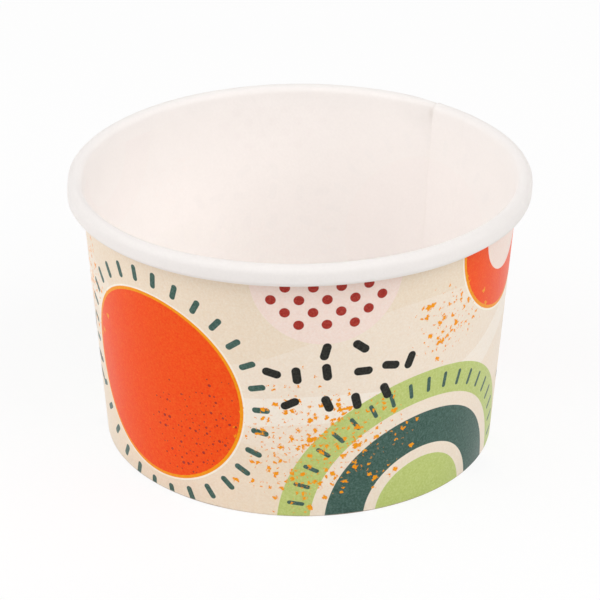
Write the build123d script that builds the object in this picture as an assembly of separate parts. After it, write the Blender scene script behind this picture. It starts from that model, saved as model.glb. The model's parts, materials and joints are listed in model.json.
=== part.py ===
from build123d import *
import os
from math import asin, atan2, cos, degrees, hypot, pi, radians, sin

# A paper ice cream cup, standing open on its foot.
# It is made of two pieces of card, as the real cup is:
#   sidewall   one fan-shaped sheet, wrapped into a cone and lapped at the side seam,
#              its top rolled outward into the rim and its foot folded in and up
#   base_disc  a round card with its edge turned down, held in that fold
# Millimetres and degrees. The origin is the centre of the foot, on the table, and +Z is up.

# Overall size
rim_diameter = 96.0       # over the rolled rim
cup_height = 58.5         # from the table to the top of the rim
foot_diameter = 82.4      # over the fold at the foot

# Card
wall_card = 0.35          # thickness of the sidewall sheet
base_card = 0.30          # thickness of the base card
seal_film = 0.05          # coating between two layers that are sealed together

# Rolled rim
bead_width = 3.1          # from the inner face of the wall to the outside of the rim
bead_height = 4.3         # from the underside of the rim to its top
tuck_length = 1.2         # straight end of the sheet, turned up inside the rim
tuck_gap = 0.1            # from that end to the outer layer of the lapped wall

# Foot
base_recess = 7.0         # from the table to the underside of the base
base_corner_radius = 1.0  # middle of the card, where the base turns down
hem_drop = 1.6            # from the underside of the base to the top of the folded-in hem
skirt_clearance = 0.25    # from the base's turned-down edge to the card in the fold

# Side seam
seam_azimuth = 50.0       # where the sheet's inner end stands, from +X towards +Y
lap_width = 8.5           # how far the outer end of the sheet reaches over the inner end
step_width = 12.0         # stretch over which the outer end moves out to cover the inner end
settle_width = 6.0        # stretch over which the fold under the lap comes down to the table
step_sections = 5         # sections that shape each of those two stretches

# The sheet's two faces, as the side of its middle that they are on
printed_face = 1
white_face = -1

# Lines parallel to the wall, measured outward from the middle of the base's turned-down edge
lap_step = wall_card + seal_film
wall_line = base_card / 2 + seal_film + wall_card / 2
hem_line = -wall_line
tuck_line = wall_line + lap_step + wall_card + tuck_gap
top_roll = (bead_width - wall_card) / 2
roll_centre = Vector(rim_diameter / 2 - bead_width / 2, cup_height - bead_width / 2)

# The wall's draft: the wall leads from the crease at the foot to the roll of the rim. The card is
# creased sharply at the foot, so its outside is round there, with the card's thickness as radius.
crease = Vector(foot_diameter / 2 - wall_card, wall_card)
rise = roll_centre - crease
draft = atan2(rise.X, rise.Y) - asin((top_roll + wall_card / 2) / hypot(rise.X, rise.Y))
outward = Vector(cos(draft), -sin(draft))
upward = Vector(sin(draft), cos(draft))
skirt_line = outward.dot(crease) + wall_card / 2 - wall_line

# The turn under the rim: a circle between the outside of the rim and the tuck
turn_reach = cos(draft) * (rim_diameter / 2 - wall_card / 2) - skirt_line - tuck_line
turn_drop = sin(draft) * (cup_height - bead_height + wall_card / 2)
turn_roll = (turn_reach - turn_drop) / (1 + cos(draft) + sin(draft))
turn_centre = Vector(
    rim_diameter / 2 - wall_card / 2 - turn_roll,
    cup_height - bead_height + wall_card / 2 + turn_roll,
)

# Angles that the seam's widths take, at half the cup's height
wall_radius = (foot_diameter / 2 + rim_diameter / 2 - bead_width) / 2
lap_angle = degrees(lap_width / wall_radius)
step_angle = degrees(step_width / wall_radius)
settle_angle = degrees(settle_width / wall_radius)


def on_line(offset, height):
    # The point at a height on the line parallel to the wall at an offset.
    return Vector((skirt_line + offset + sin(draft) * height) / cos(draft), height)


def around(centre, radius, angle):
    # A point on a circle of the section plane, its angle in radians from straight outward.
    return centre + Vector(cos(angle), sin(angle)) * radius


def folded_foot(face, offset, lift):
    # One face of the card from the top of the hem, down, across the land and up to the wall.
    # The white face has sharp creases, and the printed face goes round them.
    height = wall_card + lift - offset
    hem_crease = on_line(hem_line - offset + wall_card / 2, height)
    wall_crease = on_line(wall_line + offset - wall_card / 2, height)
    hem_top = on_line(hem_line - offset - face * wall_card / 2, base_recess - hem_drop)
    if face == white_face:
        return [Line(hem_top, hem_crease), Line(hem_crease, wall_crease)], wall_crease
    hem_end = hem_crease - outward * wall_card
    wall_start = wall_crease + outward * wall_card
    land_start = around(hem_crease, wall_card, -pi / 2)
    land_end = around(wall_crease, wall_card, -pi / 2)
    hem_bend = around(hem_crease, wall_card, -(3 * pi / 2 + draft) / 2)
    wall_bend = around(wall_crease, wall_card, -(pi / 2 + draft) / 2)
    return [
        Line(hem_top, hem_end),
        ThreePointArc(hem_end, hem_bend, land_start),
        Line(land_start, land_end),
        ThreePointArc(land_end, wall_bend, wall_start),
    ], wall_start


def wall_and_rim(face, offset, wall_start):
    # The same face up the wall, over the top, down the outside, and back up as the tuck.
    over = top_roll - offset - face * wall_card / 2
    under = turn_roll - offset - face * wall_card / 2
    wall_end = roll_centre - outward * over
    leg_top = around(roll_centre, over, 0)
    leg_bottom = around(turn_centre, under, 0)
    tuck_start = turn_centre - outward * under
    return [
        Line(wall_start, wall_end),
        ThreePointArc(wall_end, around(roll_centre, over, (pi - draft) / 2), leg_top),
        Line(leg_top, leg_bottom),
        ThreePointArc(leg_bottom, around(turn_centre, under, -(pi + draft) / 2), tuck_start),
        Line(tuck_start, tuck_start + upward * tuck_length),
    ]


def closed_face(first_line, second_line):
    # The card between its two faces, closed at the raw edges.
    start_edge = Line(first_line[0] @ 0, second_line[0] @ 0)
    end_edge = Line(first_line[-1] @ 1, second_line[-1] @ 1)
    return Face(Wire(first_line + [end_edge] + second_line + [start_edge]))


def sheet_section(offset, lift):
    # The sheet's section, moved by an offset towards its printed face, with the fold at its foot
    # lifted off the table.
    faces = []
    for face in (printed_face, white_face):
        foot, wall_start = folded_foot(face, offset, lift)
        faces.append(foot + wall_and_rim(face, offset, wall_start))
    return closed_face(*faces)


def seam_plane(progress):
    # The half plane through the cup's axis, at an angle clockwise from the sheet's inner end.
    azimuth = radians(seam_azimuth - progress)
    radial = (cos(azimuth), sin(azimuth), 0)
    across = (sin(azimuth), -cos(azimuth), 0)
    return Plane(origin=(0, 0, 0), x_dir=radial, z_dir=across)


def even_stretch(offset, lift, start, end):
    # The sheet wrapped round the cup with one section, between two progress angles.
    face = seam_plane(start) * sheet_section(offset, lift)
    return revolve(face, axis=Axis((0, 0, 0), (0, 0, -1)), revolution_arc=end - start)


def changing_stretch(first, last, start, width):
    # The sheet where its section changes smoothly from one pair of offset and lift to another.
    sections = []
    for i in range(step_sections):
        share = i / (step_sections - 1)
        eased = share * share * (3 - 2 * share)
        offset = first[0] + (last[0] - first[0]) * eased
        lift = first[1] + (last[1] - first[1]) * eased
        sections.append(seam_plane(start + width * share) * sheet_section(offset, lift))
    return loft(sections)


def make_sidewall():
    # Clockwise from the inner end: the lap's inner layer, the fold coming down to the table,
    # the plain wall, the step outward, and the lap's outer layer over the inner one.
    plain_start = lap_angle + settle_angle
    plain_end = 360 - step_angle
    sheet = even_stretch(0, 0, plain_start, plain_end)
    sheet += changing_stretch((0, lap_step), (0, 0), lap_angle, settle_angle)
    sheet += even_stretch(0, lap_step, 0, lap_angle)
    sheet += changing_stretch((0, 0), (lap_step, lap_step), plain_end, step_angle)
    sheet += even_stretch(lap_step, lap_step, 360, 360 + lap_angle)
    return sheet


def make_base_disc():
    # Half of the section, from the turned-down edge to the cup's axis, turned round that axis.
    middle_height = base_recess + base_card / 2
    corner = on_line(-base_corner_radius, middle_height - base_corner_radius)
    edge_height = wall_card + lap_step + skirt_clearance

    def base_line(offset):
        turn = base_corner_radius + offset
        skirt_top = corner + outward * turn
        disc_edge = around(corner, turn, pi / 2)
        return [
            Line(on_line(offset, edge_height), skirt_top),
            ThreePointArc(skirt_top, around(corner, turn, (pi / 2 - draft) / 2), disc_edge),
            Line(disc_edge, Vector(0, middle_height + offset)),
        ]

    section = closed_face(base_line(base_card / 2), base_line(-base_card / 2))
    return revolve(Plane.XZ * section, axis=Axis.Z)


os.makedirs("parts", exist_ok=True)
export_step(make_sidewall(), "parts/sidewall.step")
export_step(make_base_disc(), "parts/base_disc.step")
print("draft", round(degrees(draft), 2), "turn under the rim", round(turn_roll, 3))
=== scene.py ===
import json
from math import asin, atan2, cos, degrees, exp, pi, radians, sin

import bpy
from mathutils import Matrix, Vector, noise


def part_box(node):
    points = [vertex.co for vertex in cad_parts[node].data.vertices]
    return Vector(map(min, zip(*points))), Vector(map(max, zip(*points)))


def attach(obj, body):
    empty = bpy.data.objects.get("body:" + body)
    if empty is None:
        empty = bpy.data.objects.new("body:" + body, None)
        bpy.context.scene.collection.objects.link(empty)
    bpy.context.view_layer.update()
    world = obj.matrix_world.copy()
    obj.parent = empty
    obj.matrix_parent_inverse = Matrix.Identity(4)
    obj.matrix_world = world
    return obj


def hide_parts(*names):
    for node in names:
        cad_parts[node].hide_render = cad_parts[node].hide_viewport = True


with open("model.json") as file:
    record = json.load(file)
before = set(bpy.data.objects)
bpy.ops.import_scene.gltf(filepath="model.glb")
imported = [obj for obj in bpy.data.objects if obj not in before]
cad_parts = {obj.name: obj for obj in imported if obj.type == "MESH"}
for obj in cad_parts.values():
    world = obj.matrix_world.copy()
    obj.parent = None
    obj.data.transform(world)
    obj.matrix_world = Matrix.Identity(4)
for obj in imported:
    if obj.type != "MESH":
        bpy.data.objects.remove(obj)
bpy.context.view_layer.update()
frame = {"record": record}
print("frame loaded")

# Lengths below are in millimetres, and become metres where the meshes are made
mm = 0.001
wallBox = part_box("sidewall")
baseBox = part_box("base_disc")
mounts = {mount["name"]: mount for mount in frame["record"]["mounts"]}
rimRadius = mounts["lid_rim"]["dims"]["r_mm"]
cupHeight = wallBox[1].z / mm
print("cup", round(2 * rimRadius, 1), "mm wide and", round(cupHeight, 1), "mm high")


# The sidewall sheet

sheet = {
    "card": 0.35,            # thickness
    "film": 0.05,            # coating between two sealed layers
    "baseCard": 0.30,        # the base's turned-down edge, which the fold at the foot holds
    "footRadius": 41.2,
    "beadWidth": 3.1,
    "beadHeight": 4.3,
    "neck": 4.2,             # top of the wall, with closer rows
    "tuckLength": 1.2,       # straight end of the sheet inside the rim
    "tuckGap": 0.1,
    "hemTop": 5.4,           # height of the sheet's folded-in edge
    "creaseInside": 0.02,    # inner radius of the two creases at the foot
    "cutRound": 0.05,        # softening of the cut edges
    "seamAzimuth": 50.0,     # degrees, where the sheet's inner end stands
    "lap": 8.5,              # how far the outer end reaches over the inner one
    "step": 12.0,            # stretch over which the outer end moves out
    "settle": 6.0,           # stretch over which the fold comes down beside the lap
    "pitch": 0.44,           # between sections round the cup
    "seamPitch": 0.16,       # the same beside the two cut ends
    "seamZone": 1.6,
    "sharpFrom": 50.0,       # degrees between two faces, from which their edge is sharp
}

# Rows of faces along each stretch of the section
sheetRows = {"hem": 8, "bend": 4, "land": 1, "wall": 9, "neck": 6, "roll": 14, "leg": 1, "turn": 9,
             "tuck": 2}

# How far the real cup is from the true form. A pair is a size and the azimuth where it is largest
unevenness = {
    "rimOval": (0.36, 58.0),
    "rimThreeSided": (0.10, -16.0),
    "footOval": (0.38, -57.0),
    "rimTilt": (0.30, -73.0),      # up and down, as the next two
    "rimSaddle": (0.12, -83.0),
    "seamRise": (0.16, 58.0),
    "seamRiseWidth": 8.0,
    "flatSpot": (0.25, 183.0),     # inward
    "flatSpotWidth": 4.5,
    "wave": 0.10,                  # slow waves of the wall
    "waveRound": 1.7,              # how quick they are round the cup
    "waveUp": 30.0,                # and how long up the wall
    "ripple": 0.035,               # shorter ones
    "rippleRound": 5.0,
    "rippleUp": 11.0,
    "firmBelow": 8.0,              # the base holds the wall true up to this height
    "looseOver": 24.0,             # stretch over which the waves grow above it
    "rimWave": 0.05,               # up and down along the rim
    "rimWaveRound": 2.6,
    "liftStart": 30.0,             # height from which the rim's local rises grow
    "liftOver": 20.0,
    "pressedLine": 0.09,           # the lap's outer edge, pressed through to the inside
    "pressedWidth": 0.60,
    "pressedFade": 6.0,
    "clampLine": 0.13,             # mark of the rolling tool, beside the seam
    "clampHeight": 53.9,
    "clampWidth": 0.45,
    "clampFade": 9.0,
    "dent": 0.20,                  # small dent in the rim beside the seam
    "dentWidth": 1.2,
    "dentAngle": 128.0,            # where it is on the roll, from straight outward
    "dentAside": 2.0,              # degrees before the sheet's inner end
    "flush": 0.75,                 # how far the roll closes the step at the sheet's inner end
    "flushWidth": 0.9,
    "knurl": 0.07,                 # pressed ridges on the folded-in hem
    "knurlCount": 112,
    "knurlLow": 1.5,               # heights between which the ridges are full
    "knurlHigh": 4.6,
    "knurlFade": 0.6,
}

half = sheet["card"] / 2
lapStep = sheet["card"] + sheet["film"]
wallLine = sheet["baseCard"] / 2 + sheet["film"] + half   # this and the next two run along the wall
hemLine = -wallLine
tuckLine = wallLine + lapStep + sheet["card"] + sheet["tuckGap"]
topRoll = (sheet["beadWidth"] - sheet["card"]) / 2
rollCentre = Vector((rimRadius - sheet["beadWidth"] / 2, cupHeight - sheet["beadWidth"] / 2))
footCrease = Vector((sheet["footRadius"] - sheet["card"], sheet["card"]))
rise = rollCentre - footCrease
draft = atan2(rise.x, rise.y) - asin((topRoll + half) / rise.length)
outward = Vector((cos(draft), -sin(draft)))
upward = Vector((sin(draft), cos(draft)))
skirtLine = outward.dot(footCrease) + half - wallLine
turnReach = cos(draft) * (rimRadius - half) - skirtLine - tuckLine
turnDrop = sin(draft) * (cupHeight - sheet["beadHeight"] + half)
turnRoll = (turnReach - turnDrop) / (1 + cos(draft) + sin(draft))
turnCentre = Vector((rimRadius - half - turnRoll, cupHeight - sheet["beadHeight"] + half + turnRoll))
middleRadius = (sheet["footRadius"] + rimRadius - sheet["beadWidth"]) / 2


def turnOf(width):
    return degrees(width / middleRadius)


lapTurn = turnOf(sheet["lap"])
fullTurn = 360 + lapTurn
outerEndAzimuth = sheet["seamAzimuth"] - lapTurn


def eased(share):
    share = min(max(share, 0.0), 1.0)
    return share * share * (3 - 2 * share)


def onLine(offset, height):
    return Vector(((skirtLine + offset + sin(draft) * height) / cos(draft), height))


def direction(angle):
    return Vector((cos(angle), sin(angle)))


def shares(count):
    return [i / count for i in range(count)]


def sheetSection(offset, lift):
    # The middle of the card from the hem's top to the tuck's end. Each row is a point, the direction
    # of the printed side, and the name of the stretch
    bend = half + sheet["creaseInside"]
    creaseHeight = 2 * half + sheet["creaseInside"] + lift - offset
    hemCrease = onLine(hemLine - offset + bend, creaseHeight)
    wallCrease = onLine(wallLine + offset - bend, creaseHeight)
    hemFoot = hemCrease - outward * bend
    hemTop = onLine(hemLine - offset, sheet["hemTop"])
    over = topRoll - offset
    under = turnRoll - offset
    wallFoot = wallCrease + outward * bend
    wallTop = rollCentre - outward * over
    legTop = rollCentre + Vector((over, 0))
    legFoot = turnCentre + Vector((under, 0))
    tuckFoot = turnCentre - outward * under
    tuckTop = tuckFoot + upward * sheet["tuckLength"]
    cut = sheet["cutRound"]
    rows = [(hemTop, -outward, "cut")]
    start = hemTop - upward * cut
    rows += [(start.lerp(hemFoot, s), -outward, "hem") for s in shares(sheetRows["hem"])]
    for s in shares(sheetRows["bend"]):
        side = direction(pi - draft + (pi / 2 + draft) * s)
        rows.append((hemCrease + side * bend, side, "bend"))
    down = Vector((0, -1))
    landStart = hemCrease + down * bend
    landEnd = wallCrease + down * bend
    rows += [(landStart.lerp(landEnd, s), down, "bend") for s in shares(sheetRows["land"])]
    for s in shares(sheetRows["bend"]):
        side = direction(-pi / 2 + (pi / 2 - draft) * s)
        rows.append((wallCrease + side * bend, side, "bend"))
    neck = wallTop - upward * sheet["neck"]
    rows += [(wallFoot.lerp(neck, s), outward, "wall") for s in shares(sheetRows["wall"])]
    rows += [(neck.lerp(wallTop, s), outward, "wall") for s in shares(sheetRows["neck"])]
    for s in shares(sheetRows["roll"]):
        side = direction((pi - draft) * (1 - s))
        rows.append((rollCentre + side * over, -side, "roll"))
    rows += [(legTop.lerp(legFoot, s), Vector((-1, 0)), "leg") for s in shares(sheetRows["leg"])]
    for s in shares(sheetRows["turn"]):
        side = direction(-(pi + draft) * s)
        rows.append((turnCentre + side * under, -side, "turn"))
    end = tuckTop - upward * cut
    rows += [(tuckFoot.lerp(end, s), outward, "tuck") for s in shares(sheetRows["tuck"])]
    rows += [(end, outward, "tuck"), (tuckTop, outward, "cut")]
    return rows


def lapShape(progress):
    # How far the sheet has moved outward, and its fold upward, at an angle clockwise from the inner end
    if progress < 180:
        return 0.0, lapStep * (1 - eased((progress - lapTurn) / turnOf(sheet["settle"])))
    moved = lapStep * eased(1 + (progress - 360) / turnOf(sheet["step"]))
    return moved, moved


def sectionAngles():
    marks = (0, lapTurn, 360, fullTurn)
    cut = turnOf(sheet["cutRound"])
    angles = [0.0, cut]
    while angles[-1] < fullTurn - cut:
        near = min(abs(angles[-1] - mark) for mark in marks) < turnOf(sheet["seamZone"])
        pitch = turnOf(sheet["seamPitch"] if near else sheet["pitch"])
        angles.append(min(angles[-1] + pitch, fullTurn - cut))
    return angles + [fullTurn]


def gap(azimuth, mark):
    # Arc length in millimetres from a mark given in degrees, positive towards a larger azimuth
    turned = (azimuth - radians(mark) + pi) % (2 * pi) - pi
    return turned * middleRadius


def swing(name, azimuth, times):
    size, where = unevenness[name]
    return size * cos(times * (azimuth - radians(where)))


def bulge(name, azimuth, width):
    size, where = unevenness[name]
    away = gap(azimuth, where) / unevenness[width]
    return size * exp(-away * away)


def roundShift(azimuth, height):
    # How far the cup is out of round at a height
    share = height / cupHeight
    rim = swing("rimOval", azimuth, 2) + swing("rimThreeSided", azimuth, 3)
    rim -= bulge("flatSpot", azimuth, "flatSpotWidth")
    return rim * share + swing("footOval", azimuth, 2) * (1 - share)


def clampMark(azimuth, height):
    # A faint groove round the inside under the rim, fading away from the seam
    along = gap(azimuth, sheet["seamAzimuth"]) / unevenness["clampFade"]
    across = (height - unevenness["clampHeight"]) / unevenness["clampWidth"]
    return unevenness["clampLine"] * exp(-along - across * across) if along > 0 else 0.0


def wallShift(azimuth, height):
    # How far the wall and rim stand out from the true cone
    ring = Vector((cos(azimuth), sin(azimuth), 0))
    freed = height - unevenness["firmBelow"]
    wavePlace = ring * unevenness["waveRound"] + Vector((0, 0, height / unevenness["waveUp"]))
    ripplePlace = ring * unevenness["rippleRound"] + Vector((7, 0, height / unevenness["rippleUp"]))
    waves = noise.noise(wavePlace) * unevenness["wave"]
    waves += noise.noise(ripplePlace) * unevenness["ripple"]
    waves *= eased(freed / unevenness["looseOver"])
    away = gap(azimuth, outerEndAzimuth) / unevenness["pressedWidth"]
    pressed = unevenness["pressedLine"] * exp(-away * away) * eased(freed / unevenness["pressedFade"])
    return roundShift(azimuth, height) + waves + pressed + clampMark(azimuth, height)


def lift(azimuth, height):
    # How far the rim and the wall below it stand too high
    ring = Vector((cos(azimuth), sin(azimuth), 0))
    whole = swing("rimTilt", azimuth, 1) + swing("rimSaddle", azimuth, 2)
    local = bulge("seamRise", azimuth, "seamRiseWidth")
    local += noise.noise(ring * unevenness["rimWaveRound"] + Vector((0, 3, 0))) * unevenness["rimWave"]
    grown = eased((height - unevenness["liftStart"]) / unevenness["liftOver"])
    return whole * height / cupHeight + local * grown


def dentDepth(azimuth, point):
    # The dent in the inner slope of the rim, where the sheet's inner end begins
    centre = rollCentre + direction(radians(unevenness["dentAngle"])) * topRoll
    away = gap(azimuth, sheet["seamAzimuth"] - unevenness["dentAside"])
    far = (away * away + (point - centre).length_squared) / unevenness["dentWidth"] ** 2
    return unevenness["dent"] * exp(-far)


def knurlDepth(azimuth, height):
    fade = unevenness["knurlFade"]
    rising = eased((height - unevenness["knurlLow"]) / fade + 1)
    falling = eased((unevenness["knurlHigh"] - height) / fade + 1)
    wave = 0.5 + 0.5 * cos(unevenness["knurlCount"] * azimuth)
    return unevenness["knurl"] * rising * falling * wave


def flushLift(progress, moved, point):
    # In the rolled rim the sheet beside the inner end is pressed up until it is almost level with it
    beside = eased((360 - progress) / turnOf(unevenness["flushWidth"]))
    over = eased((point.y - rollCentre.y) / topRoll)
    return moved * unevenness["flush"] * beside * over if progress < 360 else 0.0


def sheetPoint(row, face, azimuth, thickness, pressed):
    point, side, stretch = row
    place = point + side * face * thickness
    if stretch == "hem" and face > 0:
        place -= side * knurlDepth(azimuth, point.y)
    if stretch == "roll":
        place += side * (dentDepth(azimuth, point) - pressed)
    radius = place.x + wallShift(azimuth, min(point.y, rollCentre.y))
    ring = Vector((cos(azimuth), sin(azimuth), 0))
    return Vector((radius * ring.x, radius * ring.y, place.y + lift(azimuth, point.y))) * mm


def sheetMesh(name, sections, isRound):
    # Each section is a list of pairs: a point of the card's first face and one of its second.
    # An open sheet is capped at its two ends. A round one is closed by a fan inside its last ring
    count = len(sections[0])
    total = len(sections)
    points = [pair[face] for section in sections for face in (0, 1) for pair in section]
    faces = []
    slots = []

    def corner(section, face, row):
        return ((section % total) * 2 + face) * count + row

    def outline(section, index):
        # The section's outline runs up the first face and back down the second
        onFirst = index < count
        return corner(section, 0 if onFirst else 1, index if onFirst else 2 * count - 1 - index)

    for section in range(total if isRound else total - 1):
        for index in range(2 * count):
            following = (index + 1) % (2 * count)
            isCut = index in (count - 1, 2 * count - 1)
            if isRound and index == count - 1:
                continue
            faces.append((outline(section, index), outline(section, following),
                          outline(section + 1, following), outline(section + 1, index)))
            slots.append(2 if isCut else index // count)
    for face in (0, 1) if isRound else ():
        ring = [corner(section, face, count - 1) for section in range(total)]
        points.append(sum((points[i] for i in ring), Vector()) / total)
        for i in range(total):
            pair = (ring[i], ring[(i + 1) % total])
            faces.append((len(points) - 1, *(pair[::-1] if face == 0 else pair)))
            slots.append(face)
    for section in () if isRound else (0, total - 1):
        for row in range(count - 1):
            cap = (corner(section, 0, row), corner(section, 1, row),
                   corner(section, 1, row + 1), corner(section, 0, row + 1))
            faces.append(cap[::-1] if section else cap)
            slots.append(2)
    mesh = bpy.data.meshes.new(name)
    mesh.from_pydata(points, [], faces)
    mesh.polygons.foreach_set("material_index", slots)
    mesh.shade_smooth()
    mesh.set_sharp_from_angle(angle=radians(sheet["sharpFrom"]))
    mesh.update()
    return mesh


def finishPiece(name, mesh, node, finishes):
    piece = bpy.data.objects.new(name, mesh)
    bpy.context.scene.collection.objects.link(piece)
    for finish in finishes:
        mesh.materials.append(finish)
    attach(piece, "root")
    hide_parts(node)
    print(name, len(mesh.vertices), "vertices")


def makeSidewall(finishes):
    sections = []
    angles = sectionAngles()
    for progress in angles:
        azimuth = radians(sheet["seamAzimuth"] - progress)
        section = []
        shape = lapShape(progress)
        for row in sheetSection(*shape):
            isCut = row[2] == "cut" or progress in (angles[0], angles[-1])
            thickness = half - sheet["cutRound"] if isCut else half
            pressed = flushLift(progress, shape[0], row[0])
            section.append([sheetPoint(row, face, azimuth, thickness, pressed) for face in (1, -1)])
        sections.append(section)
    mesh = sheetMesh("sidewallSheet", sections, isRound=False)
    finishPiece("sidewallSheet", mesh, "sidewall", finishes)


# The base

baseCard = {
    "cornerRadius": 1.0,     # middle of the card, where the edge turns down
    "skirtRows": 3,
    "cornerRows": 7,
    "discRows": 22,
    "sections": 270,
    "dish": 0.18,            # sag of the middle
    "wave": 0.05,
    "waveRound": 1.8,        # how quick the waves are
    "pleats": 0.02,          # puckers of the turned-down edge
    "pleatCount": 90,
}


def baseSection():
    thick = sheet["baseCard"] / 2
    radius = baseCard["cornerRadius"]
    middle = baseBox[1].z / mm - thick
    corner = onLine(-radius, middle - radius)
    skirtFoot = onLine(0, baseBox[0].z / mm)
    skirtTop = corner + outward * radius
    cut = sheet["cutRound"]
    rows = [(skirtFoot, outward, "cut")]
    start = skirtFoot + upward * cut
    rows += [(start.lerp(skirtTop, s), outward, "skirt") for s in shares(baseCard["skirtRows"])]
    for s in shares(baseCard["cornerRows"]):
        side = direction(-draft + (pi / 2 + draft) * s)
        rows.append((corner + side * radius, side, "corner"))
    flat = Vector((0, 1))
    edge = corner + flat * radius
    rows += [(edge.lerp(Vector((0, middle)), s), flat, "disc") for s in shares(baseCard["discRows"])]
    return rows


def basePoint(row, face, azimuth):
    point, side, stretch = row
    thickness = sheet["baseCard"] / 2 - (sheet["cutRound"] if stretch == "cut" else 0)
    place = point + side * face * thickness
    ring = Vector((cos(azimuth), sin(azimuth), 0))
    share = point.x / footCrease.x
    sag = baseCard["dish"] * (1 - share * share) ** 2
    wave = noise.noise(ring * share * baseCard["waveRound"] + Vector((4, 0, 0)))
    wave *= baseCard["wave"] * (1 - share ** 6)
    pucker = cos(baseCard["pleatCount"] * azimuth) * baseCard["pleats"] if stretch == "corner" else 0
    radius = place.x - abs(pucker) + roundShift(azimuth, place.y) * share
    height = place.y - sag + wave
    return Vector((radius * ring.x, radius * ring.y, height)) * mm


def makeBase(finishes):
    sections = []
    rows = baseSection()
    for i in range(baseCard["sections"]):
        azimuth = -2 * pi * i / baseCard["sections"]
        sections.append([[basePoint(row, face, azimuth) for face in (1, -1)] for row in rows])
    mesh = sheetMesh("baseDisc", sections, isRound=True)
    finishPiece("baseDisc", mesh, "base_disc", finishes)


# Small tools for the materials

def tone(red, green, blue):
    # An 8 bit screen colour as a linear one
    def linear(value):
        value /= 255
        return value / 12.92 if value <= 0.04045 else ((value + 0.055) / 1.055) ** 2.4
    return (linear(red), linear(green), linear(blue), 1.0)


def plug(tree, socket, value):
    if isinstance(value, bpy.types.NodeSocket):
        tree.links.new(value, socket)
    else:
        socket.default_value = value


def addNode(tree, kind, sockets, **settings):
    node = tree.nodes.new(kind)
    for key, value in settings.items():
        setattr(node, key, value)
    for label, value in sockets.items():
        plug(tree, node.inputs[label], value)
    return node


def newGroup(name, inputs, outputs):
    group = bpy.data.node_groups.new(name, "ShaderNodeTree")
    kinds = {1: "NodeSocketFloat", 3: "NodeSocketVector", 4: "NodeSocketColor"}
    for side, sockets in (("INPUT", inputs), ("OUTPUT", outputs)):
        for label, value in sockets.items():
            size = len(value) if isinstance(value, tuple) else 1
            socket = group.interface.new_socket(name=label, in_out=side, socket_type=kinds[size])
            socket.default_value = value
    return group, group.nodes.new("NodeGroupInput").outputs, group.nodes.new("NodeGroupOutput").inputs


def mathIn(tree):
    def calc(operation, *values, clamp=False):
        node = tree.nodes.new("ShaderNodeMath")
        node.operation = operation
        node.use_clamp = clamp
        for socket, value in zip(node.inputs, values):
            plug(tree, socket, value)
        return node.outputs[0]
    return calc


def vectorMathIn(tree):
    def calcVector(operation, *values, out="Vector"):
        node = tree.nodes.new("ShaderNodeVectorMath")
        node.operation = operation
        for socket, value in zip(node.inputs, values):
            plug(tree, socket, value)
        return node.outputs[out]
    return calcVector


def useGroup(tree, name, **values):
    # Inputs are given in camelCase and matched to the group's own labels
    node = tree.nodes.new("ShaderNodeGroup")
    node.node_tree = bpy.data.node_groups[name]
    labels = {socket.name.replace(" ", "").lower(): socket for socket in node.inputs}
    for key, value in values.items():
        plug(tree, labels[key.lower()], value)
    return node.outputs


def joined(tree, across, up):
    return addNode(tree, "ShaderNodeCombineXYZ", {"X": across, "Y": up}).outputs[0]


def split(tree, vector):
    return addNode(tree, "ShaderNodeSeparateXYZ", {0: vector}).outputs


def inside(tree, distance, soft=0.08):
    # 1 where a distance to an outline is negative, with an edge as soft as ink on card
    return mathIn(tree)("MULTIPLY_ADD", distance, -1 / soft, 0.5, clamp=True)


def paint(tree, under, mask, colour):
    mix = addNode(tree, "ShaderNodeMix", {}, data_type="RGBA")
    plug(tree, mix.inputs[0], mask)
    plug(tree, mix.inputs[6], under)
    plug(tree, mix.inputs[7], colour)
    return mix.outputs[2]


# Node groups that several finishes or motifs use

def makeCardGrain():
    # The fine orange peel of coated card, and its slow unevenness in tone
    inputs = {"Position": (0.0, 0.0, 0.0), "Grain Size": 0.5, "Cloud Size": 4.0,
              "Broad Scale": 0.3, "Broad Share": 0.8}
    group, given, result = newGroup("cardGrain", inputs, {"Height": 0.0, "Mottle": 0.0, "Cloud": 0.0})
    calc = mathIn(group)
    scale = calc("DIVIDE", 1.0, given["Grain Size"])
    fine = addNode(group, "ShaderNodeTexNoise", {
        "Vector": given["Position"], "Scale": scale, "Detail": 2.0})
    broad = addNode(group, "ShaderNodeTexNoise", {
        "Vector": given["Position"], "Scale": calc("MULTIPLY", scale, given["Broad Scale"]),
        "Detail": 1.0})
    cloud = addNode(group, "ShaderNodeTexNoise", {
        "Vector": given["Position"], "Scale": calc("DIVIDE", 1.0, given["Cloud Size"]), "Detail": 2.0})
    both = calc("MULTIPLY_ADD", broad.outputs[0], given["Broad Share"], fine.outputs[0])
    plug(group, result["Height"], both)
    plug(group, result["Mottle"], calc("SUBTRACT", fine.outputs[0], 0.5))
    plug(group, result["Cloud"], calc("SUBTRACT", cloud.outputs[0], 0.5))


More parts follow.
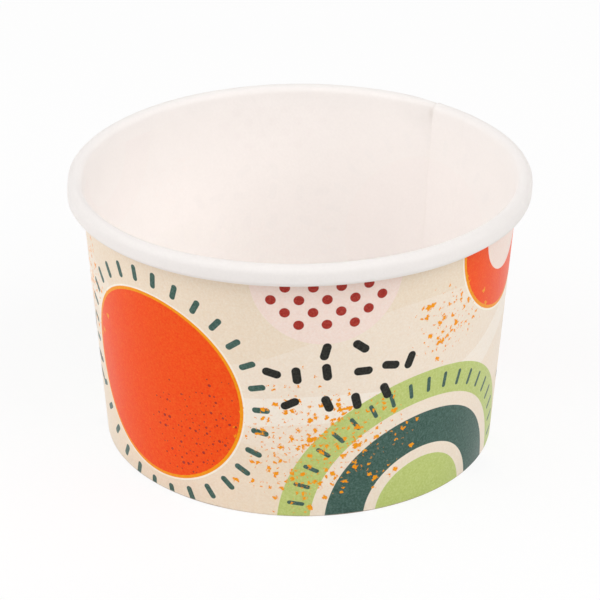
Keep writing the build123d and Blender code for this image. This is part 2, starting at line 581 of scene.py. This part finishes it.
def makeInkDensity():
    # How thick the ink lies: the fine screen of dots that it is printed in, and small blotches
    inputs = {"Position": (0.0, 0.0, 0.0), "Dot Spacing": 0.36, "Screen": 0.05, "Blotch": 0.2,
              "Blotch Scale": 2.2}
    group, given, result = newGroup("inkDensity", inputs, {"Density": 1.0})
    calc = mathIn(group)
    position = split(group, given["Position"])
    angle = calc("ARCTAN2", position[1], position[0])
    across = calc("MULTIPLY", angle, middleRadius)
    waves = []
    for sign in (1.0, -1.0):
        along = calc("MULTIPLY_ADD", position[2], sign, across)
        turned = calc("DIVIDE", calc("MULTIPLY", along, 2 * pi), given["Dot Spacing"])
        waves.append(calc("COSINE", turned))
    dots = calc("MULTIPLY", calc("MULTIPLY", *waves), given["Screen"])
    blotches = addNode(group, "ShaderNodeTexNoise", {
        "Vector": given["Position"], "Scale": given["Blotch Scale"], "Detail": 3.0, "Roughness": 0.65})
    uneven = calc("MULTIPLY", calc("SUBTRACT", blotches.outputs[0], 0.5), given["Blotch"])
    plug(group, result["Density"], calc("ADD", 1.0, calc("ADD", dots, uneven)))


def makeMotifPlace():
    # Millimetres across and up from a motif's centre, on the surface of the cup
    inputs = {"Angle": 0.0, "Radius": 43.0, "Height": 0.0, "Centre Angle": 0.0, "Centre Height": 0.0}
    outputs = {"Across": 0.0, "Up": 0.0, "Distance": 0.0}
    group, given, result = newGroup("motifPlace", inputs, outputs)
    calc = mathIn(group)
    turned = calc("SUBTRACT", given["Angle"], calc("RADIANS", given["Centre Angle"]))
    across = calc("MULTIPLY", calc("WRAP", turned, pi / 2, -pi / 2), given["Radius"])
    up = calc("SUBTRACT", given["Height"], given["Centre Height"])
    square = calc("MULTIPLY_ADD", across, across, calc("MULTIPLY", up, up))
    plug(group, result["Across"], across)
    plug(group, result["Up"], up)
    plug(group, result["Distance"], calc("SQRT", square))


def makeSprinklePatch():
    # Rounded bars at random angles, kept whole inside an ellipse
    inputs = {"Across": 0.0, "Up": 0.0, "Spacing": 6.0, "Length": 3.9, "Width": 1.8,
              "Reach Across": 20.0, "Reach Up": 10.0, "Share": 0.95, "Seed": 0.0}
    group, given, result = newGroup("sprinklePatch", inputs, {"Mask": 0.0})
    calc = mathIn(group)
    calcVector = vectorMathIn(group)
    seed = joined(group, given["Seed"], given["Seed"])
    spacing = joined(group, given["Spacing"], given["Spacing"])
    place = calcVector("DIVIDE", joined(group, given["Across"], given["Up"]), spacing)
    cells = addNode(group, "ShaderNodeTexVoronoi", {
        "Vector": calcVector("ADD", place, seed), "Scale": 1.0, "Randomness": 0.5},
        voronoi_dimensions="2D")
    centre = calcVector("SUBTRACT", cells.outputs["Position"], seed)
    local = split(group, calcVector("MULTIPLY", calcVector("SUBTRACT", place, centre), spacing))
    middle = split(group, calcVector("MULTIPLY", centre, spacing))
    chance = addNode(group, "ShaderNodeSeparateColor", {0: cells.outputs["Color"]}).outputs
    angle = calc("MULTIPLY", chance[0], pi)
    risen = calc("MULTIPLY", local[1], calc("SINE", angle))
    along = calc("MULTIPLY_ADD", local[0], calc("COSINE", angle), risen)
    beside = calc("SUBTRACT", calc("MULTIPLY", local[1], calc("COSINE", angle)),
                  calc("MULTIPLY", local[0], calc("SINE", angle)))
    radius = calc("MULTIPLY", given["Width"], 0.5)
    straight = calc("MULTIPLY_ADD", given["Length"], 0.5, calc("MULTIPLY", radius, -1.0))
    past = calc("MAXIMUM", calc("SUBTRACT", calc("ABSOLUTE", along), straight), 0.0)
    distance = calc("SQRT", calc("MULTIPLY_ADD", past, past, calc("MULTIPLY", beside, beside)))
    mask = inside(group, calc("SUBTRACT", distance, radius))
    outX = calc("DIVIDE", middle[0], given["Reach Across"])
    outY = calc("DIVIDE", middle[1], given["Reach Up"])
    near = calc("LESS_THAN", calc("MULTIPLY_ADD", outX, outX, calc("MULTIPLY", outY, outY)), 1.0)
    kept = calc("LESS_THAN", chance[1], given["Share"])
    plug(group, result["Mask"], calc("MULTIPLY", mask, calc("MULTIPLY", near, kept)))


def makeSpeckPatch():
    # Ragged specks of many sizes, thick in the middle of the patch and thin at its edge
    inputs = {"Across": 0.0, "Up": 0.0, "Spacing": 1.15, "Smallest": 0.10, "Largest": 0.66,
              "Rarity": 3.0, "Ragged": 1.8, "Centre Across": 0.0, "Centre Up": 0.0,
              "Reach Across": 10.0, "Reach Up": 10.0, "Density": 1.0, "Seed": 0.0}
    group, given, result = newGroup("speckPatch", inputs, {"Mask": 0.0})
    calc = mathIn(group)
    calcVector = vectorMathIn(group)
    seed = joined(group, given["Seed"], given["Seed"])
    spacing = joined(group, given["Spacing"], given["Spacing"])
    across = calc("SUBTRACT", given["Across"], given["Centre Across"])
    up = calc("SUBTRACT", given["Up"], given["Centre Up"])
    flat = joined(group, across, up)
    shake = addNode(group, "ShaderNodeTexNoise", {
        "Vector": calcVector("ADD", flat, seed), "Scale": 1.1, "Detail": 4.0, "Roughness": 0.65},
        noise_dimensions="2D")
    moved = calcVector("SUBTRACT", shake.outputs["Color"], (0.5, 0.5, 0.5))
    ragged = joined(group, given["Ragged"], given["Ragged"])
    shaken = calcVector("ADD", flat, calcVector("MULTIPLY", moved, ragged))
    place = calcVector("DIVIDE", shaken, spacing)
    cells = addNode(group, "ShaderNodeTexVoronoi", {
        "Vector": calcVector("ADD", place, seed), "Scale": 1.0, "Randomness": 1.0},
        voronoi_dimensions="2D")
    chance = addNode(group, "ShaderNodeSeparateColor", {0: cells.outputs["Color"]}).outputs
    large = calc("POWER", chance[0], given["Rarity"])   # the rarer, the fewer large specks
    spread = calc("SUBTRACT", given["Largest"], given["Smallest"])
    radius = calc("MULTIPLY_ADD", large, spread, given["Smallest"])
    distance = calc("MULTIPLY", cells.outputs["Distance"], given["Spacing"])
    mask = inside(group, calc("SUBTRACT", distance, radius))
    centre = calcVector("MULTIPLY", calcVector("SUBTRACT", cells.outputs["Position"], seed), spacing)
    reach = joined(group, given["Reach Across"], given["Reach Up"])
    far = calcVector("LENGTH", calcVector("DIVIDE", centre, reach), out="Value")
    density = calc("MULTIPLY", calc("SUBTRACT", 1.0, far), given["Density"])
    plug(group, result["Mask"], calc("MULTIPLY", mask, calc("LESS_THAN", chance[1], density)))


def makeDotLattice():
    # Evenly set dots on a slant, kept whole inside a distance from the centre
    inputs = {"Across": 0.0, "Up": 0.0, "Spacing": 4.0, "Dot": 1.0, "Limit": 10.0}
    group, given, result = newGroup("dotLattice", inputs, {"Mask": 0.0})
    calc = mathIn(group)
    slant = sin(pi / 4)
    squares = []
    middles = []
    for sign in (1.0, -1.0):
        along = calc("MULTIPLY", calc("MULTIPLY_ADD", given["Up"], sign, given["Across"]), slant)
        nearest = calc("ROUND", calc("DIVIDE", along, given["Spacing"]))
        cell = calc("MULTIPLY", nearest, given["Spacing"])
        off = calc("SUBTRACT", along, cell)
        squares.append(calc("MULTIPLY", off, off))
        middles.append(calc("MULTIPLY", cell, cell))
    distance = calc("SQRT", calc("ADD", *squares))
    mask = inside(group, calc("SUBTRACT", distance, given["Dot"]))
    kept = calc("LESS_THAN", calc("SQRT", calc("ADD", *middles)), given["Limit"])
    plug(group, result["Mask"], calc("MULTIPLY", mask, kept))


def makeRayFan():
    # Short rounded strokes that point away from a centre, between two angles
    inputs = {"Across": 0.0, "Up": 0.0, "Inner": 20.0, "Outer": 25.0, "Width": 1.0, "Spacing": 15.0,
              "First": 0.0, "Last": 180.0}
    group, given, result = newGroup("rayFan", inputs, {"Mask": 0.0})
    calc = mathIn(group)
    spacing = calc("RADIANS", given["Spacing"])
    angle = calc("ARCTAN2", given["Up"], given["Across"])
    ray = calc("MULTIPLY", calc("ROUND", calc("DIVIDE", angle, spacing)), spacing)
    off = calc("SUBTRACT", angle, ray)
    across2 = calc("MULTIPLY", given["Across"], given["Across"])
    reach = calc("SQRT", calc("MULTIPLY_ADD", given["Up"], given["Up"], across2))
    along = calc("MULTIPLY", reach, calc("COSINE", off))
    beside = calc("MULTIPLY", reach, calc("SINE", off))
    radius = calc("MULTIPLY", given["Width"], 0.5)
    middle = calc("MULTIPLY", calc("ADD", given["Inner"], given["Outer"]), 0.5)
    straight = calc("SUBTRACT", calc("SUBTRACT", given["Outer"], middle), radius)
    fromMiddle = calc("ABSOLUTE", calc("SUBTRACT", along, middle))
    past = calc("MAXIMUM", calc("SUBTRACT", fromMiddle, straight), 0.0)
    distance = calc("SQRT", calc("MULTIPLY_ADD", past, past, calc("MULTIPLY", beside, beside)))
    mask = inside(group, calc("SUBTRACT", distance, radius))
    after = calc("GREATER_THAN", ray, calc("RADIANS", given["First"]))
    before = calc("LESS_THAN", ray, calc("RADIANS", given["Last"]))
    plug(group, result["Mask"], calc("MULTIPLY", mask, calc("MULTIPLY", after, before)))


# The print: two repeats round the cup. Angles start at the cup's left side, as the camera sees it

inks = {
    "ground": tone(242, 227, 209),
    "sand": tone(239, 222, 200),
    "paleSand": tone(246, 235, 221),
    "orange": tone(244, 80, 14),
    "amber": tone(244, 154, 16),
    "halo": tone(250, 241, 226),
    # painted shadow along the fold at the foot
    "wornFold": tone(172, 152, 137),
    "bareHem": tone(245, 241, 235),
    "paleGreen": tone(190, 203, 122),
    "green": tone(68, 97, 88),
    "pink": tone(245, 224, 213),
    "red": tone(165, 52, 42),
    "black": tone(40, 40, 36),
}

artwork = {
    "sun": {"angle": 47.0, "height": 25.0, "radius": 20.5, "outline": 0.7, "halo": 0.4},
    "sunRays": {"inner": 23.0, "outer": 26.6, "width": 1.3, "spacing": 12.0, "first": -181.0,
                "last": 181.0},
    "sunStipple": {"spacing": 1.3, "smallest": 0.12, "largest": 0.34, "ragged": 0.15,
                   "centreAcross": 13.0, "centreUp": -9.0, "reachAcross": 16.0, "reachUp": 16.0,
                   "density": 1.1, "seed": 8.0},
    "arch": {"angle": 127.0, "height": -1.0, "bands": (31.0, 24.5, 21.5, 13.5, 11.0)},
    "archTicks": {"inner": 26.0, "outer": 29.5, "width": 0.9, "spacing": 9.0, "first": 1.0,
                  "last": 179.0},
    "archSplatter": {"centreAcross": -16.0, "centreUp": 18.0, "reachAcross": 15.0, "reachUp": 15.0,
                     "density": 0.8, "seed": 3.0},
    "scallop": {"angle": 97.0, "height": 56.0, "radius": 15.5},
    "scallopDots": {"spacing": 3.9, "dot": 1.05, "limit": 13.5},
    "moon": {"angle": 160.0, "height": 54.0, "radius": 17.5, "outline": 0.7, "halo": 0.4,
             "ring": 7.5},
    "barPatches": (
        {"angle": 103.0, "height": 32.5, "reachAcross": 17.0, "reachUp": 8.0, "seed": 2.0},
        {"angle": 180.0, "height": 19.0, "reachAcross": 9.0, "reachUp": 18.0, "seed": 5.0},
    ),
    "splatterPatches": (
        {"angle": 90.0, "height": 17.0, "reachAcross": 15.0, "reachUp": 19.0, "density": 1.5,
         "seed": 1.0},
        {"angle": 12.0, "height": 39.0, "reachAcross": 13.0, "reachUp": 14.0, "density": 1.3,
         "seed": 4.0},
        {"angle": 134.0, "height": 40.0, "reachAcross": 13.0, "reachUp": 10.0, "density": 1.1,
         "seed": 6.0},
    ),
    "lowWave": {"height": 15.0, "swing": 7.0, "phase": 0.6, "second": 1.9},
    "highWave": {"height": 43.0, "swing": 6.0, "phase": 2.4, "second": 0.3},
    "paleBand": {"height": 29.0, "swing": 6.5, "phase": 1.3, "second": 1.0},
    "bandHalf": 3.2,         # half the width of that band
    "quickShare": 0.45,      # size of a wave's second swing, which is twice as quick
    "foldHeight": 0.34,      # painted shadow: a thin grey line round the fold at the foot
    "wear": {"scale": 0.06, "gain": 2.4, "offset": -0.55, "soft": 0.16},
    "hemInside": 0.5,        # how far inside the foot's outline a place is on the hem
    "closing": 1.0037,       # the print is a little too long to meet itself at the seam
    "bleed": 2.4,            # height on the hem where the print ends
}


def motif(tree, place, angle, height):
    return useGroup(tree, "motifPlace", angle=place["angle"], radius=place["radius"],
                    height=place["height"], centreAngle=angle, centreHeight=height)


def makeCupPrint():
    inputs = {"Position": (0.0, 0.0, 0.0)}
    group, given, result = newGroup("cupPrint", inputs, {"Color": inks["ground"]})
    calc = mathIn(group)
    position = split(group, given["Position"])
    turn = radians(outerEndAzimuth + 180)
    ahead = calc("MULTIPLY_ADD", position[0], cos(turn), calc("MULTIPLY", position[1], sin(turn)))
    aside = calc("MULTIPLY_ADD", position[0], -sin(turn), calc("MULTIPLY", position[1], cos(turn)))
    fromFront = calc("ADD", calc("ARCTAN2", aside, ahead), radians(outerEndAzimuth) - pi / 2)
    flat = vectorMathIn(group)("MULTIPLY", given["Position"], (1.0, 1.0, 0.0))
    place = {
        "angle": calc("MULTIPLY_ADD", fromFront, artwork["closing"], pi / 2),
        "radius": vectorMathIn(group)("LENGTH", flat, out="Value"),
        "height": position[2],
    }
    colour = paintGround(group, place)
    colour = paintArch(group, place, colour)
    colour = paintSun(group, place, colour)
    colour = paintScallop(group, place, colour)
    colour = paintMoon(group, place, colour)
    colour = paintPatches(group, place, colour, "speckPatch", "splatterPatches", "amber")
    colour = paintPatches(group, place, colour, "sprinklePatch", "barPatches", "black")
    # Painted shadow: a thin grey line round the fold at the foot, laid on in patches round the cup
    wear = artwork["wear"]
    patchy = addNode(group, "ShaderNodeTexNoise", {
        "Vector": given["Position"], "Scale": wear["scale"], "Detail": 3.0})
    foldShadowMask = calc("MULTIPLY_ADD", patchy.outputs[0], wear["gain"], wear["offset"], clamp=True)
    aboveFold = calc("SUBTRACT", place["height"], artwork["foldHeight"])
    foldShadowMask = calc("MULTIPLY", inside(group, aboveFold, soft=wear["soft"]), foldShadowMask)
    colour = paint(group, colour, foldShadowMask, inks["wornFold"])
    onHem = calc("LESS_THAN", place["radius"], sheet["footRadius"] - artwork["hemInside"])
    pastBleed = inside(group, calc("SUBTRACT", artwork["bleed"], place["height"]))
    bare = calc("MULTIPLY", onHem, pastBleed)
    plug(group, result["Color"], paint(group, colour, bare, inks["bareHem"]))


def paintGround(tree, place):
    calc = mathIn(tree)

    def above(wave):
        # How far a place is above a slow wave round the cup
        slow = calc("SINE", calc("MULTIPLY_ADD", place["angle"], 2.0, wave["phase"]))
        quick = calc("SINE", calc("MULTIPLY_ADD", place["angle"], 4.0, wave["second"]))
        swung = calc("MULTIPLY_ADD", quick, wave["swing"] * artwork["quickShare"], wave["height"])
        return calc("SUBTRACT", place["height"], calc("MULTIPLY_ADD", slow, wave["swing"], swung))

    colour = paint(tree, inks["ground"], inside(tree, above(artwork["lowWave"])), inks["sand"])
    upper = calc("MULTIPLY", above(artwork["highWave"]), -1.0)
    colour = paint(tree, colour, inside(tree, upper), inks["sand"])
    band = calc("SUBTRACT", calc("ABSOLUTE", above(artwork["paleBand"])), artwork["bandHalf"])
    return paint(tree, colour, inside(tree, band), inks["paleSand"])


def paintRound(tree, colour, edge, shape, ink):
    # A disc with an amber outline and a thin pale halo round it
    calc = mathIn(tree)
    outline = shape["outline"]
    for width, name in ((outline + shape["halo"], "halo"), (outline, "amber"), (0.0, ink)):
        colour = paint(tree, colour, inside(tree, calc("SUBTRACT", edge, width)), inks[name])
    return colour


def marksRound(tree, spot, group, values):
    # The mask of one of the repeating marks, laid out from a motif's centre
    return useGroup(tree, group, across=spot["Across"], up=spot["Up"], **values)["Mask"]


def paintArch(tree, place, colour):
    calc = mathIn(tree)
    arch = artwork["arch"]
    spot = motif(tree, place, arch["angle"], arch["height"])
    bandInks = ("paleGreen", "ground", "green", "ground", "paleGreen")
    for radius, ink in zip(arch["bands"], bandInks):
        band = inside(tree, calc("SUBTRACT", spot["Distance"], radius))
        colour = paint(tree, colour, band, inks[ink])
    ticks = marksRound(tree, spot, "rayFan", artwork["archTicks"])
    colour = paint(tree, colour, ticks, inks["green"])
    specks = marksRound(tree, spot, "speckPatch", artwork["archSplatter"])
    return paint(tree, colour, specks, inks["amber"])


def paintSun(tree, place, colour):
    calc = mathIn(tree)
    sun = artwork["sun"]
    spot = motif(tree, place, sun["angle"], sun["height"])
    edge = calc("SUBTRACT", spot["Distance"], sun["radius"])
    colour = paintRound(tree, colour, edge, sun, "orange")
    stipple = marksRound(tree, spot, "speckPatch", artwork["sunStipple"])
    colour = paint(tree, colour, calc("MULTIPLY", stipple, inside(tree, edge)), inks["red"])
    rays = marksRound(tree, spot, "rayFan", artwork["sunRays"])
    return paint(tree, colour, rays, inks["green"])


def paintScallop(tree, place, colour):
    scallop = artwork["scallop"]
    spot = motif(tree, place, scallop["angle"], scallop["height"])
    disc = inside(tree, mathIn(tree)("SUBTRACT", spot["Distance"], scallop["radius"]))
    colour = paint(tree, colour, disc, inks["pink"])
    dots = marksRound(tree, spot, "dotLattice", artwork["scallopDots"])
    return paint(tree, colour, dots, inks["red"])


def paintMoon(tree, place, colour):
    calc = mathIn(tree)
    moon = artwork["moon"]
    spot = motif(tree, place, moon["angle"], moon["height"])
    edge = calc("SUBTRACT", spot["Distance"], moon["radius"])
    colour = paintRound(tree, colour, edge, moon, "orange")
    return paint(tree, colour, inside(tree, calc("ADD", edge, moon["ring"])), inks["pink"])


def paintPatches(tree, place, colour, group, patches, ink):
    for patch in artwork[patches]:
        spot = motif(tree, place, patch["angle"], patch["height"])
        values = {key: value for key, value in patch.items() if key not in ("angle", "height")}
        colour = paint(tree, colour, marksRound(tree, spot, group, values), inks[ink])
    return colour


for makeGroup in (makeCardGrain, makeInkDensity, makeMotifPlace, makeSprinklePatch, makeSpeckPatch,
                  makeDotLattice, makeRayFan, makeCupPrint):
    makeGroup()
print("node groups made")


# Finishes

def newFinish(name):
    material = bpy.data.materials.new(name)
    material.use_nodes = True
    tree = material.node_tree
    shader = tree.nodes["Principled BSDF"]
    place = addNode(tree, "ShaderNodeTexCoord", {})
    position = vectorMathIn(tree)("MULTIPLY", place.outputs["Object"], (1 / mm, 1 / mm, 1 / mm))
    return material, tree, shader, position


def multiplied(tree, colour, other, share):
    mix = addNode(tree, "ShaderNodeMix", {}, data_type="RGBA", blend_type="MULTIPLY")
    plug(tree, mix.inputs[0], share)
    plug(tree, mix.inputs[6], colour)
    plug(tree, mix.inputs[7], other)
    return mix.outputs[2]


def shaded(tree, colour, amount):
    # A colour made a little lighter or darker by a value that goes both ways from 0
    calc = mathIn(tree)
    level = calc("ADD", 1.0, amount)
    grey = addNode(tree, "ShaderNodeCombineColor", {0: level, 1: level, 2: level}).outputs[0]
    return multiplied(tree, colour, grey, 1.0)


def addGrain(tree, shader, position, colour, look):
    calc = mathIn(tree)
    grain = useGroup(tree, "cardGrain", position=position, grainSize=look["grainSize"],
                     cloudSize=look["cloudSize"])
    clouds = calc("MULTIPLY", grain["Cloud"], look["cloud"])
    spread = calc("MULTIPLY_ADD", grain["Mottle"], look["mottle"], clouds)
    plug(tree, shader.inputs["Base Color"], shaded(tree, colour, spread))
    bump = addNode(tree, "ShaderNodeBump", {"Height": grain["Height"], "Distance": look["depth"] * mm,
                                            "Strength": 1.0})
    plug(tree, shader.inputs["Normal"], bump.outputs[0])
    rough = calc("MULTIPLY_ADD", grain["Cloud"], look["roughSpread"], look["roughness"])
    plug(tree, shader.inputs["Roughness"], rough)


printLook = {"grainSize": 0.45, "cloudSize": 5.0, "mottle": 0.07, "cloud": 0.03, "depth": 0.010,
             "roughness": 0.34, "roughSpread": 0.10, "specular": 0.12, "screen": 0.18, "blotch": 0.85}
# The rim's tone is painted shade: the same white coating, darker than the inside
coatingLook = {"grainSize": 0.55, "cloudSize": 7.0, "mottle": 0.05, "cloud": 0.03, "depth": 0.019,
               "roughness": 0.60, "roughSpread": 0.12, "tone": tone(252, 247, 244),
               "rimTone": tone(239, 234, 231), "rimStart": 44.9, "rimFade": 1.3, "wallTop": 54.0,
               # the crease's tone is a painted shadow at the seam
               "showThrough": 0.014, "creaseTone": tone(238, 232, 228), "creaseHeight": 56.2,
               "creaseAside": 0.75, "creaseWidth": 0.60, "creaseLength": 1.3}
plainLook = {"grainSize": 0.35, "cloudSize": 3.0, "mottle": 0.06, "cloud": 0.05, "depth": 0.012,
             "roughness": 0.75, "roughSpread": 0.1, "tone": tone(243, 238, 230)}
cutLook = {"grainSize": 0.12, "cloudSize": 1.2, "mottle": 0.25, "cloud": 0.10, "depth": 0.020,
           "roughness": 0.9, "roughSpread": 0.1, "tone": tone(232, 224, 210)}


def makePrintedCard():
    material, tree, shader, position = newFinish("printedCard")
    colour = useGroup(tree, "cupPrint", position=position)["Color"]
    density = useGroup(tree, "inkDensity", position=position, screen=printLook["screen"],
                       blotch=printLook["blotch"])["Density"]
    inked = addNode(tree, "ShaderNodeGamma", {"Color": colour, "Gamma": density}).outputs[0]
    addGrain(tree, shader, position, inked, printLook)
    shader.inputs["Specular IOR Level"].default_value = printLook["specular"]
    return material


def seamShadowSpot(tree, position, look):
    # Painted shadow: a small dark spot beside the sheet's inner end, where it turns over into the rim
    calc = mathIn(tree)
    turn = radians(sheet["seamAzimuth"])
    axes = split(tree, position)
    ahead = calc("MULTIPLY_ADD", axes[0], cos(turn), calc("MULTIPLY", axes[1], sin(turn)))
    aside = calc("MULTIPLY_ADD", axes[0], -sin(turn), calc("MULTIPLY", axes[1], cos(turn)))
    across = calc("DIVIDE", calc("SUBTRACT", aside, look["creaseAside"]), look["creaseWidth"])
    along = calc("DIVIDE", calc("SUBTRACT", axes[2], look["creaseHeight"]), look["creaseLength"])
    far = calc("MULTIPLY_ADD", across, across, calc("MULTIPLY", along, along))
    spot = calc("EXPONENT", calc("MULTIPLY", far, -1.0))
    return calc("MULTIPLY", spot, calc("GREATER_THAN", ahead, 0.0))


def makeWhiteCoating():
    # The rim's white is painted a little greyer than the inside, as painted shade; on the inside the
    # print shows very faintly through the card
    material, tree, shader, position = newFinish("whiteCoating")
    calc = mathIn(tree)
    look = coatingLook
    flat = vectorMathIn(tree)("MULTIPLY", position, (1.0, 1.0, 0.0))
    radius = vectorMathIn(tree)("LENGTH", flat, out="Value")
    height = split(tree, position)[2]
    # Painted shade: the rim is darker than the inside
    shadedRim = calc("DIVIDE", calc("SUBTRACT", radius, look["rimStart"]), look["rimFade"], clamp=True)
    colour = paint(tree, look["tone"], shadedRim, look["rimTone"])
    onWall = calc("GREATER_THAN", height, baseBox[1].z / mm)
    onWall = calc("MULTIPLY", onWall, calc("LESS_THAN", height, look["wallTop"]))
    colour = multiplied(tree, colour, useGroup(tree, "cupPrint", position=position)["Color"],
                        calc("MULTIPLY", onWall, look["showThrough"]))
    # Painted shadow at the seam's step in the rim
    colour = paint(tree, colour, seamShadowSpot(tree, position, look), look["creaseTone"])
    addGrain(tree, shader, position, colour, look)
    return material


def makePlainFinish(name, look):
    material, tree, shader, position = newFinish(name)
    addGrain(tree, shader, position, look["tone"], look)
    return material


printedCard = makePrintedCard()
whiteCoating = makeWhiteCoating()
plainCard = makePlainFinish("plainCard", plainLook)
cutCard = makePlainFinish("cutCard", cutLook)
print("finishes made")

makeSidewall([printedCard, whiteCoating, cutCard])
makeBase([whiteCoating, plainCard, cutCard])


# Floor, lights and camera

plainWhite = (1.0, 1.0, 1.0, 1.0)

studio = {   # the floor and the sky
    "floorSize": 6000.0,
    "floorSeen": 0.97,       # the floor's colour where the camera sees it
    "floorBounce": 0.89,     # the same for the light that it throws on the cup
    "floorGlow": 0.86,       # share of plain white in what the camera sees
    "skyFill": 0.27,         # the sky's light on surfaces, next to 1 where it is seen
    "skyTone": (1.0, 0.995, 0.985, 1.0),
}

lamps = {
    "leftLamp": {"azimuth": -60.0, "elevation": 40.0, "watts": 3.6},
    "lowLeftLamp": {"azimuth": -82.0, "elevation": 25.0, "watts": 5.6},
    "rightLamp": {"azimuth": 60.0, "elevation": 40.0, "watts": 8.9},
    "frontLamp": {"azimuth": 0.0, "elevation": 50.0, "watts": 3.0},
    "backLamp": {"azimuth": 180.0, "elevation": 45.0, "watts": 3.0},
}
lampDistance = 1300.0
lampSize = 1100.0

shot = {
    "lens": 157.1,
    "sensor": 36.0,
    "distance": 551.9,
    "elevation": 26.53,
    "targetHeight": 28.2,
    "aside": 0.18,
    "roll": 0.16,
    "near": 10.0,
    "far": 20000.0,
}


def seenDirectly(tree):
    # 1 for rays by which the camera sees a thing, straight or in a gloss
    rays = addNode(tree, "ShaderNodeLightPath", {}).outputs
    calc = mathIn(tree)
    either = calc("MAXIMUM", rays["Is Camera Ray"], rays["Is Glossy Ray"])
    return calc("MAXIMUM", either, rays["Is Transmission Ray"])


def makeFloor():
    side = studio["floorSize"] * mm / 2
    corners = [(-side, -side, 0), (side, -side, 0), (side, side, 0), (-side, side, 0)]
    mesh = bpy.data.meshes.new("floor")
    mesh.from_pydata(corners, [], [(0, 1, 2, 3)])
    floor = bpy.data.objects.new("floor", mesh)
    bpy.context.scene.collection.objects.link(floor)
    material = bpy.data.materials.new("floorPaint")
    material.use_nodes = True
    tree = material.node_tree
    shader = tree.nodes["Principled BSDF"]
    calc = mathIn(tree)
    seen = seenDirectly(tree)
    brighter = studio["floorSeen"] - studio["floorBounce"]
    level = calc("MULTIPLY_ADD", seen, brighter, studio["floorBounce"])
    colour = addNode(tree, "ShaderNodeCombineColor", {0: level, 1: level, 2: level})
    plug(tree, shader.inputs["Base Color"], colour.outputs[0])
    shader.inputs["Roughness"].default_value = 1.0
    shader.inputs["Specular IOR Level"].default_value = 0.0
    glow = addNode(tree, "ShaderNodeEmission", {"Color": plainWhite, "Strength": 1.0})
    share = calc("MULTIPLY", seen, studio["floorGlow"])
    mix = addNode(tree, "ShaderNodeMixShader", {0: share, 1: shader.outputs[0], 2: glow.outputs[0]})
    plug(tree, tree.nodes["Material Output"].inputs["Surface"], mix.outputs[0])
    mesh.materials.append(material)


def makeSky():
    world = bpy.data.worlds.new("studioSky")
    bpy.context.scene.world = world
    world.use_nodes = True
    tree = world.node_tree
    tree.nodes.clear()
    sky = {"Color": studio["skyTone"], "Strength": studio["skyFill"]}
    fill = addNode(tree, "ShaderNodeBackground", sky)
    seen = addNode(tree, "ShaderNodeBackground", {"Color": plainWhite, "Strength": 1.0})
    sockets = {0: seenDirectly(tree), 1: fill.outputs[0], 2: seen.outputs[0]}
    mix = addNode(tree, "ShaderNodeMixShader", sockets)
    output = addNode(tree, "ShaderNodeOutputWorld", {"Surface": mix.outputs[0]})
    output.is_active_output = True


def around(azimuth, elevation, distance):
    # A place round the cup; azimuth 0 is the camera's side and turns to the camera's right
    a = radians(azimuth)
    e = radians(elevation)
    return Vector((sin(a) * cos(e), -cos(a) * cos(e), sin(e))) * distance * mm


def makeLamps():
    target = Vector((0, 0, shot["targetHeight"])) * mm
    for name, lamp in lamps.items():
        data = bpy.data.lights.new(name, "AREA")
        data.shape = "SQUARE"
        data.size = lampSize * mm
        data.energy = lamp["watts"]
        holder = bpy.data.objects.new(name, data)
        bpy.context.scene.collection.objects.link(holder)
        spot = around(lamp["azimuth"], lamp["elevation"], lampDistance)
        holder.location = target + spot
        holder.rotation_euler = (-spot).to_track_quat("-Z", "Y").to_euler()


def makeCamera():
    data = bpy.data.cameras.new("camera")
    data.lens = shot["lens"]
    data.sensor_width = shot["sensor"]
    data.clip_start = shot["near"] * mm
    data.clip_end = shot["far"] * mm
    camera = bpy.data.objects.new("camera", data)
    bpy.context.scene.collection.objects.link(camera)
    target = Vector((shot["aside"], 0, shot["targetHeight"])) * mm
    camera.location = target + around(0, shot["elevation"], shot["distance"])
    tip = Matrix.Rotation(radians(90 - shot["elevation"]), 3, "X")
    camera.rotation_euler = (tip @ Matrix.Rotation(radians(shot["roll"]), 3, "Z")).to_euler()
    bpy.context.scene.camera = camera


makeFloor()
makeSky()
makeLamps()
makeCamera()
bpy.context.scene.view_settings.view_transform = "Standard"
print("studio made")
